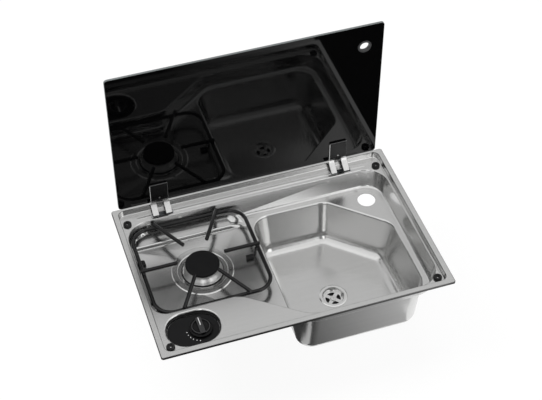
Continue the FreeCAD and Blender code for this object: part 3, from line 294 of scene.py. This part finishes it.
def wasteFinish():
    look = wasteLook
    finish = Finish("polishedWaste", look["colour"], look["roughness"], 1.0)
    middle = nodeMiddle("waste_flange")
    reach = ((finish.axis("X") - middle.x) ** 2.0 + (finish.axis("Y") - middle.y) ** 2.0) ** 0.5
    rings = 0.5 + 0.5 * (reach * look["rings"]).sine()
    stain = finish.noise(look["stain"])
    tone = weighed((rings, stain), look["toneShares"]).clamped()
    finish.set("Base Color", finish.blend(tone, look["second"], look["colour"]))
    finish.varyRoughness(look["roughness"] + look["ringSpread"] * rings, look["stainSpread"], stain)
    finish.bump(rings, look["bump"], look["ringDepth"])
    return finish.material


# White print of the scale dots and the pointer
printLook = {"colour": (0.80, 0.80, 0.80), "roughness": 0.45, "spread": 0.2, "grain": 500.0}


def printFinish():
    finish = Finish("whitePrint", printLook["colour"], printLook["roughness"])
    finish.varyRoughness(printLook["roughness"], printLook["spread"], finish.noise(printLook["grain"]))
    return finish.material


finishes = {name: blackFinish(name) for name in blackLooks}
finishes.update({name: metalFinish(name) for name in metalLooks})
finishes.update({
    "satinStainless": stainlessFinish("satinStainless", steelLook), "paintedFoldShade": stainlessFinish("paintedFoldShade", paintedFoldShadeLook),
    "blackGlass": glassFinish(), "groundGlassEdge": groundFinish(), "polishedWaste": wasteFinish(),
    "whitePrint": printFinish(),
})
print("finishes made:", len(finishes))

slotFinish = {
    "stainless": "satinStainless", "black_glass": "blackGlass", "black_enamel": "satinEnamel",
    "black_plastic": "blackMoulding", "grey_plastic": "greyMoulding", "black_rubber": "blackRubber",
    "foam": "foamStrip", "aluminium": "castAluminium", "brass": "turnedBrass", "zinc_steel": "zincSteel",
    "bright_steel": "brightSteel", "pipe_steel": "tubeSteel", "copper_lead": "drawnCopper",
    "chrome": "polishedWaste",
}

# Nodes that differ from their slot's finish, and the angle in degrees past which an edge stays sharp
nodeFinish = {"burner_cap": "capEnamel", "control_knob": "knobMoulding", "hinge_cover_left": "glossCover",
              "hinge_cover_right": "glossCover"}
sharpAngle = {"deck_pressing": 28, "sink_bowl": 28, "burner_crown": 30, "glass_lid": 12, "control_knob": 32}
plainAngle = 35
skinWork = {"merge": 0.000002, "flatWeight": 80, "flatAngle": 0.5, "bevelAngle": 40, "bevelSteps": 2}


def onlySelect(piece):
    bpy.ops.object.select_all(action="DESELECT")
    piece.select_set(True)
    bpy.context.view_layer.objects.active = piece


# Large flat faces decide the shading where they meet a fillet
def evenNormals(piece):
    even = piece.modifiers.new("evenNormals", "WEIGHTED_NORMAL")
    even.keep_sharp = True
    even.weight = skinWork["flatWeight"]
    bpy.ops.object.modifier_apply(modifier="evenNormals")


# Edges that are broken or rounded on the real pieces, by their width
softEdges = {
    "hinge_arm_left": 0.00025, "hinge_arm_right": 0.00025, "hinge_bracket_left": 0.0002,
    "hinge_bracket_right": 0.0002, "hinge_rivets": 0.0008, "hinge_cover_screws": 0.0003, "finger_grommet": 0.0005,
    "waste_strainer": 0.0003, "waste_flange": 0.0002, "waste_gasket": 0.0004, "waste_body": 0.0004,
    "waste_tail": 0.0004, "pipe_nuts": 0.0005, "tap_neck_nut": 0.0003, "tap_bracket": 0.0002, "gas_tap_body": 0.0005,
    "injector": 0.0004, "injector_elbow": 0.0005, "burner_cup": 0.0003, "burner_seal": 0.0003,
    "pan_support_fingers": 0.0012, "pan_support_legs": 0.0008, "pan_support_feet": 0.0007, "corner_buffers": 0.0002,
    "flange_seal": 0.0004, "bracket_studs": 0.0003,
}


def softenEdges(piece, width):
    bpy.ops.object.mode_set(mode="EDIT")
    bpy.ops.mesh.select_all(action="SELECT")
    bpy.ops.mesh.dissolve_limited(angle_limit=math.radians(skinWork["flatAngle"]))
    bpy.ops.object.mode_set(mode="OBJECT")
    edge = piece.modifiers.new("softEdge", "BEVEL")
    edge.width = width
    edge.segments = skinWork["bevelSteps"]
    edge.limit_method = "ANGLE"
    edge.angle_limit = math.radians(skinWork["bevelAngle"])
    edge.use_clamp_overlap = True
    bpy.ops.object.modifier_apply(modifier="softEdge")


# Every CAD node is shown by a merged copy of itself, so that its curves shade smoothly
def dressNode(name):
    node = nodes[name]
    piece = bpy.data.objects.new(name + "_skin", node.data.copy())
    bpy.context.scene.collection.objects.link(piece)
    onlySelect(piece)
    bpy.ops.object.mode_set(mode="EDIT")
    bpy.ops.mesh.select_all(action="SELECT")
    bpy.ops.mesh.remove_doubles(threshold=skinWork["merge"])
    bpy.ops.object.mode_set(mode="OBJECT")
    if name in softEdges:
        softenEdges(piece, softEdges[name])
    bpy.ops.object.shade_smooth_by_angle(angle=math.radians(sharpAngle.get(name, plainAngle)))
    evenNormals(piece)
    piece.data.materials.clear()
    piece.data.materials.append(finishes[nodeFinish.get(name, slotFinish[slotOf[name]])])
    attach(piece, node["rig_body"])
    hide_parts(name)
    return piece


skins = {name: dressNode(name) for name in sorted(nodes)}
print("skins made:", len(skins))


# The finish of a face is chosen by its lean, one component of its unit normal, and by its place in metres
facePick = {
    "frontLean": 0.9, "sheenDepth": 0.004, "sheenLean": 0.3, "foldDepth": 0.0045, "foldTop": 0.0001,
    "foldLean": (0.15, 0.97), "boreLean": 0.3, "boreReach": 0.0205, "edgeReach": 0.002, "edgeLean": 0.985,
}


# Every face that doesn't look forwards or back takes the second finish
def edgeFaces(name, finish):
    skin = skins[name]
    skin.data.materials.append(finishes[finish])
    for face in skin.data.polygons:
        face.material_index = 0 if abs(face.normal.y) > facePick["frontLean"] else 1


# Painted sheen: the top faces of the knob's bar take a paler, shinier moulding colour that stands in for their
# highlight
def knobSheenFaces():
    knob = skins["control_knob"]
    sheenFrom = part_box("control_knob")[1].z - facePick["sheenDepth"]
    knob.data.materials.append(finishes["knobTopSheen"])
    for face in knob.data.polygons:
        face.material_index = 1 if face.center.z > sheenFrom and face.normal.z > facePick["sheenLean"] else 0


# Painted shade: faces of the recess fold, the tap hole's bore and the rim's outer edge take the darker painted-shade
# steel
def paintedFoldShadeFaces():
    deck = skins["deck_pressing"]
    low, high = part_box("deck_pressing")
    deck.data.materials.append(finishes["paintedFoldShade"])
    tapHole = Vector([mount["pos_m"] for mount in frame["record"]["mounts"] if mount["name"] == "tap_hole"][0])
    foldFrom, foldTo = high.z - facePick["foldDepth"], high.z - facePick["foldTop"]
    leanFrom, leanTo = facePick["foldLean"]
    for face in deck.data.polygons:
        place, lean = face.center, face.normal.z
        inward = -(place.x * face.normal.x + place.y * face.normal.y)
        onFold = foldFrom < place.z < foldTo and leanFrom < lean < leanTo and inward > 0.0
        onBore = abs(lean) < facePick["boreLean"] and (place.xy - tapHole.xy).length < facePick["boreReach"]
        toEdge = min(place.x - low.x, high.x - place.x, place.y - low.y, high.y - place.y)
        onEdge = toEdge < facePick["edgeReach"] and lean < facePick["edgeLean"] and inward < 0.0
        face.material_index = 1 if onFold or onBore or onEdge else 0


edgeFaces("glass_lid", "groundGlassEdge")
skins["glass_lid"].visible_glossy = False    # the steel mirrors the bright room and not the dark lid
# Painted highlight: the hinge covers' side faces take a paler black that stands in for their bright edge highlights
edgeFaces("hinge_cover_left", "coverEdgeHighlight")
edgeFaces("hinge_cover_right", "coverEdgeHighlight")
knobSheenFaces()
paintedFoldShadeFaces()
print("ground and worn faces set")


# Cross recesses are cut into the heads of the screws: arm length, arm width and depth
crossHeads = {
    "hinge_cover_screws": {"long": 0.0031, "wide": 0.0008, "deep": 0.0007},
    "waste_screw": {"long": 0.0072, "wide": 0.0015, "deep": 0.0012},
}


def crossCutter(place, size, upright):
    made = []
    for turn in (0.0, 90.0):
        bpy.ops.object.select_all(action="DESELECT")
        bpy.ops.mesh.primitive_cube_add(size=1.0, location=place)
        arm = bpy.context.object
        arm.scale = (size["long"], size["wide"], 2 * size["deep"])
        arm.rotation_euler = (math.radians(90.0 if upright else 0.0), math.radians(turn if upright else 0.0),
                              math.radians(0.0 if upright else turn))
        made.append(arm)
    return made


def cutCross(name, place, upright):
    skin = skins[name]
    for arm in crossCutter(place, crossHeads[name], upright):
        onlySelect(skin)
        cut = skin.modifiers.new("cross", "BOOLEAN")
        cut.operation = "DIFFERENCE"
        cut.object = arm
        bpy.ops.object.modifier_apply(modifier="cross")
        bpy.data.objects.remove(arm, do_unlink=True)


def cutScrewHeads():
    low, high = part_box("waste_screw")
    cutCross("waste_screw", ((low.x + high.x) / 2, (low.y + high.y) / 2, high.z), False)
    low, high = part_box("hinge_cover_screws")
    reach = (high.z - low.z) / 2
    for x in (low.x + reach, high.x - reach):
        cutCross("hinge_cover_screws", (x, low.y, (low.z + high.z) / 2), True)


cutScrewHeads()
print("screw heads cut")


def finishPiece(piece, body, finish, angle=plainAngle):
    onlySelect(piece)
    bpy.ops.object.transform_apply(location=True, rotation=True, scale=True)
    bpy.ops.object.shade_smooth_by_angle(angle=math.radians(angle))
    piece.data.materials.clear()
    piece.data.materials.append(finishes[finish])
    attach(piece, body)


# Six printed dots on the bezel, a fifth of a turn from the left of the knob towards its front
dotRow = {"reach": 0.0280, "from": 180.0, "to": 252.0, "count": 6, "radius": 0.0010, "height": 0.00012,
          "sides": 24, "bevelShare": 0.3}


def scaleDots():
    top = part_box("control_bezel")[1].z
    middle = nodeMiddle("control_knob")
    for i in range(dotRow["count"]):
        turn = math.radians(dotRow["from"] + (dotRow["to"] - dotRow["from"]) * i / (dotRow["count"] - 1))
        x = middle.x + dotRow["reach"] * math.cos(turn)
        y = middle.y + dotRow["reach"] * math.sin(turn)
        bpy.ops.object.select_all(action="DESELECT")
        bpy.ops.mesh.primitive_cylinder_add(vertices=dotRow["sides"], radius=dotRow["radius"],
                                            depth=dotRow["height"],
                                            location=(x, y, top + dotRow["height"] / 2))
        dot = bpy.context.object
        dot.name = "scale_dot_%d" % (i + 1)
        bpy.ops.object.mode_set(mode="EDIT")
        bpy.ops.mesh.select_all(action="SELECT")
        bpy.ops.mesh.bevel(offset=dotRow["height"] * dotRow["bevelShare"], segments=1, affect="EDGES")
        bpy.ops.object.mode_set(mode="OBJECT")
        finishPiece(dot, "root", "whitePrint")


# White inlay on the knob's bar
pointer = {"from": 0.0015, "to": 0.0205, "width": 0.0015, "height": 0.0003, "sunk": 0.00005, "bevel": 0.0001}


def knobPointer():
    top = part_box("control_knob")[1].z
    bpy.ops.object.select_all(action="DESELECT")
    middle = nodeMiddle("control_knob")
    along = middle.y + (pointer["from"] + pointer["to"]) / 2
    bpy.ops.mesh.primitive_cube_add(size=1.0, location=(middle.x, along, top - pointer["sunk"]))
    bar = bpy.context.object
    bar.name = "knob_pointer"
    bar.scale = (pointer["width"], pointer["to"] - pointer["from"], pointer["height"])
    bpy.ops.object.transform_apply(location=False, rotation=False, scale=True)
    bpy.ops.object.mode_set(mode="EDIT")
    bpy.ops.mesh.select_all(action="SELECT")
    bpy.ops.mesh.bevel(offset=pointer["bevel"], segments=2, affect="EDGES")
    bpy.ops.object.mode_set(mode="OBJECT")
    finishPiece(bar, "knob", "whitePrint")


# Weld beads where the pan support's fingers cross the ring and where its legs meet it
weld = {"along": 0.0060, "across": 0.0045, "rise": 0.0024, "step": 60.0, "count": 6, "rightLeg": -0.007,
        "leftLegs": (-0.077, 0.030), "legRise": 0.0012, "segments": 20, "rings": 12, "uneven": 0.05, "angle": 80,
        "legSeed": 10, "leastShare": 0.001}


def weldBead(name, place, turn, seed):
    bpy.ops.object.select_all(action="DESELECT")
    bpy.ops.mesh.primitive_uv_sphere_add(segments=weld["segments"], ring_count=weld["rings"], radius=1.0,
                                         location=place)
    bead = bpy.context.object
    bead.name = name
    bpy.ops.object.mode_set(mode="EDIT")
    bpy.ops.mesh.select_all(action="SELECT")
    bpy.ops.transform.vertex_random(offset=weld["uneven"], normal=1.0, seed=seed)
    bpy.ops.object.mode_set(mode="OBJECT")
    bead.scale = (weld["along"], weld["across"], weld["rise"])
    bead.rotation_euler = (0.0, 0.0, turn)
    finishPiece(bead, "root", "satinEnamel", weld["angle"])


def weldBeads():
    low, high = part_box("pan_support_ring")
    wire = (high.z - low.z) / 2
    middle = (low + high) / 2
    halfX = (high.x - low.x) / 2 - wire
    halfY = (high.y - low.y) / 2 - wire
    for i in range(weld["count"]):
        angle = math.radians(i * weld["step"])
        acrossX = halfX / max(abs(math.cos(angle)), weld["leastShare"])
        acrossY = halfY / max(abs(math.sin(angle)), weld["leastShare"])
        reach = min(acrossX, acrossY)
        place = (middle.x + reach * math.cos(angle), middle.y + reach * math.sin(angle), high.z)
        weldBead("finger_weld_%d" % (i + 1), place, math.radians(90.0 if acrossX < acrossY else 0.0), i)
    places = [(middle.x + halfX - wire, middle.y + weld["rightLeg"], middle.z + weld["legRise"])]
    places += [(middle.x - halfX, middle.y + offset, low.z) for offset in weld["leftLegs"]]
    for i, place in enumerate(places):
        weldBead("leg_weld_%d" % (i + 1), place, math.radians(90.0), weld["legSeed"] + i)


scaleDots()
knobPointer()
weldBeads()
print("printed marks and weld beads made")


# Floor, light and camera
stageSet = {"floorSize": 14.0, "floorDrop": 0.002, "floorColour": 0.85, "floorRough": 0.9, "paper": 0.86,
            "paperLight": 1.06, "skyLight": 0.50}


def whiteRays(tree):
    seen, mirrored, passed = [addNode(tree, "ShaderNodeLightPath", {}, {}, "Is %s Ray" % kind)
                              for kind in ("Camera", "Glossy", "Transmission")]
    return seen.most(mirrored).most(passed)


def makeFloor():
    bpy.ops.object.select_all(action="DESELECT")
    level = cadBox[0][2] - stageSet["floorDrop"]
    bpy.ops.mesh.primitive_plane_add(size=stageSet["floorSize"], location=(0, 0, level))
    floor = bpy.context.object
    floor.name = "floor"
    paper = bpy.data.materials.new("paperFloor")
    paper.use_nodes = True
    tree = paper.node_tree
    shader = tree.nodes["Principled BSDF"]
    shader.inputs["Base Color"].default_value = (*[stageSet["floorColour"]] * 3, 1.0)
    shader.inputs["Roughness"].default_value = stageSet["floorRough"]
    glow = addNode(tree, "ShaderNodeEmission", {}, {"Strength": stageSet["paperLight"]})
    share = whiteRays(tree) * stageSet["paper"]
    mixed = addNode(tree, "ShaderNodeMixShader", {}, {0: share, 1: Wire(tree, shader.outputs[0]), 2: glow})
    tree.links.new(mixed.socket, tree.nodes["Material Output"].inputs["Surface"])
    floor.data.materials.append(paper)


def makeSky():
    world = bpy.data.worlds.new("studio")
    bpy.context.scene.world = world
    world.use_nodes = True
    tree = world.node_tree
    sky = tree.nodes["Background"]
    strength = stageSet["skyLight"] + (1.0 - stageSet["skyLight"]) * whiteRays(tree)
    tree.links.new(strength.socket, sky.inputs["Strength"])
    sky.inputs["Color"].default_value = (1, 1, 1, 1)


lamps = {
    "topLamp": {"place": (0.0, 0.55, 2.4), "aim": (0, 0, 0), "size": (2.0, 1.6), "power": 20.0},
    "leftLamp": {"place": (-1.5, 0.5, 2.2), "aim": (0, 0, 0), "size": (1.2, 1.2), "power": 22.0},
}


# Studio cards that only reflections see: the dark table, the pale ones round the bowl, the room above, and one
# inside the lid's glass that darkens the hob's floor. Light runs from the card's left edge to its right one
cards = {
    "tableCard": {"place": (0.2, -1.8, -0.2035), "size": (5.0, 3.2), "tilt": 0.0, "light": (0.03, 0.03)},
    "edgeCard": {"place": (-0.405, 0.10, -0.2035), "size": (0.19, 0.60), "tilt": 0.0, "light": (0.03, 0.03)},
    "leftTable": {"place": (-0.20, -0.10, -0.2035), "size": (0.36, 0.20), "tilt": 0.0, "light": (0.05, 0.05)},
    "rightTable": {"place": (0.42, -0.03, -0.2035), "size": (0.24, 0.34), "tilt": 0.0, "light": (0.03, 0.03)},
    "bowlCard": {"place": (0.17, -0.32, -0.2025), "size": (0.42, 0.3), "tilt": 0.0, "light": (0.0, 0.78)},
    "bandCard": {"place": (-0.04, -0.22, -0.2022), "size": (0.04, 0.14), "tilt": 0.0, "light": (0.6, 0.6)},
    "sideCard": {"place": (0.305, -0.07, -0.2015), "size": (0.10, 0.36), "tilt": 0.0, "light": (1.1, 1.1)},
    "highCard": {"place": (-0.74, -2.73, 1.67), "size": (3.48, 2.5), "tilt": 58.5, "light": (0.25, 0.15)},
    "rightCard": {"place": (2.00, -2.73, 1.67), "size": (2.0, 2.5), "tilt": 58.5, "light": (1.75, 1.85)},
    "topCard": {"place": (0.1, 0.35, 2.6), "size": (3.6, 1.1), "tilt": 0.0, "light": (1.15, 1.15)},
    "backCard": {"place": (0.2, 2.4, 2.4), "size": (6.0, 2.4), "tilt": -45.0, "light": (0.74, 0.68)},
    "backHorizon": {"place": (0.2, 3.2, 0.75), "size": (8.0, 1.4), "tilt": 90.0, "light": (0.06, 0.06)},
    "rightHorizon": {"place": (3.2, 0.4, 0.75), "size": (5.0, 1.4), "tilt": 90.0, "turn": 90.0,
                     "light": (0.06, 0.06)},
    "leftCard": {"place": (-3.2, 0.0, 1.2), "size": (5.0, 2.4), "tilt": 90.0, "turn": 90.0,
                 "light": (0.10, 0.10)},
    "hobCard": {"place": (-0.11, nodeMiddle("glass_lid").y, 0.2175), "size": (0.30, 0.225), "tilt": 90.0,
                "body": "lid", "light": (0.16, 0.08)},
    "cornerCard": {"place": (-0.95, -2.68, 1.72), "size": (0.8, 2.0), "tilt": 58.5, "light": (2.4, 2.4)},
}


def makeCard(name):
    card = cards[name]
    bpy.ops.object.select_all(action="DESELECT")
    bpy.ops.mesh.primitive_plane_add(size=1.0, location=card["place"])
    plane = bpy.context.object
    plane.name = name
    plane.scale = (*card["size"], 1.0)
    plane.rotation_euler = (math.radians(card["tilt"]), 0.0, math.radians(card.get("turn", 0.0)))
    paint = bpy.data.materials.new(name)
    paint.use_nodes = True
    shader = paint.node_tree.nodes["Principled BSDF"]
    shader.inputs["Base Color"].default_value = (0.0, 0.0, 0.0, 1.0)
    shader.inputs["Specular IOR Level"].default_value = 0.0
    place = addNode(paint.node_tree, "ShaderNodeTexCoord", {}, {}, "Object")
    across = addNode(paint.node_tree, "ShaderNodeSeparateXYZ", {}, {0: place}, "X") + 0.5    # 0 to 1 on the plane
    dim, full = card["light"]
    paint.node_tree.links.new((across * (full - dim) + dim).socket, shader.inputs["Emission Color"])
    shader.inputs["Emission Strength"].default_value = 1.0
    plane.data.materials.append(paint)
    plane.visible_camera = False
    plane.visible_diffuse = False
    plane.visible_transmission = False
    plane.visible_shadow = False
    if "body" in card:
        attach(plane, card["body"])


def makeLamp(name):
    lamp = lamps[name]
    light = bpy.data.lights.new(name, "AREA")
    light.shape = "RECTANGLE"
    light.size, light.size_y = lamp["size"]
    light.energy = lamp["power"]
    holder = bpy.data.objects.new(name, light)
    bpy.context.scene.collection.objects.link(holder)
    holder.location = lamp["place"]
    holder.visible_glossy = False    # reflections see the sky and the cards
    holder.rotation_euler = (Vector(lamp["aim"]) - Vector(lamp["place"])).to_track_quat("-Z", "Y").to_euler()


# The photo's camera: its height over the object and its turn in degrees, lens and sensor in millimetres
view = {"place": (-0.5834, -1.6961, 1.9982), "height": 46.046, "turn": -18.445, "lens": 88.24, "sensor": 36.0}


def makeCamera():
    lens = bpy.data.cameras.new("photoCamera")
    lens.sensor_width = view["sensor"]
    lens.lens = view["lens"]
    camera = bpy.data.objects.new("photoCamera", lens)
    bpy.context.scene.collection.objects.link(camera)
    camera.location = view["place"]
    camera.rotation_euler = (math.radians(90.0 - view["height"]), 0.0, math.radians(view["turn"]))
    bpy.context.scene.camera = camera


makeFloor()
makeSky()
for lampName in lamps:
    makeLamp(lampName)
for cardName in cards:
    makeCard(cardName)
makeCamera()
bpy.context.scene.view_settings.view_transform = "Standard"
print("stage set")
